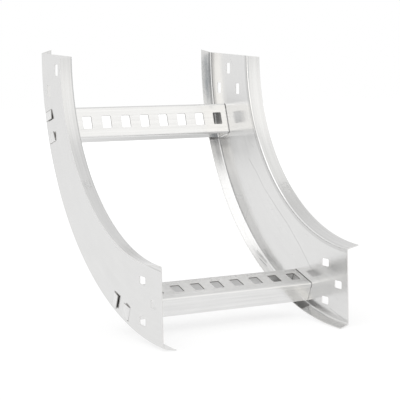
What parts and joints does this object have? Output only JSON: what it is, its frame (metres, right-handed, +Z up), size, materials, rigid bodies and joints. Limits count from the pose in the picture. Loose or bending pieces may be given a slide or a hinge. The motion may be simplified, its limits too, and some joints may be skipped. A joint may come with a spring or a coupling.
{
  "type": "cable tray bend",
  "caption": "Inside riser bend of a ladder cable tray: two curved Z rails joined by slotted channel rungs with folded tabs.",
  "frame": {"origin": "mid width on the plane of the lower end, level with the rails' convex edge", "axes": "+X across the tray from the left rail to the right one, +Y into the bend, away from the lower tray, +Z up, the way the upper end faces"},
  "size_m": [0.3442, 0.3926, 0.3926],
  "materials": {
    "galvanised_rail": "galvanised sheet, satin",
    "galvanised_rung": "galvanised sheet with fine rolling lines, satin"
  },
  "bodies": {
    "root": {"side_rail_left": "galvanised_rail", "side_rail_right": "galvanised_rail", "rung_lower": "galvanised_rung", "rung_upper": "galvanised_rung"}
  },
  "joints": []
}
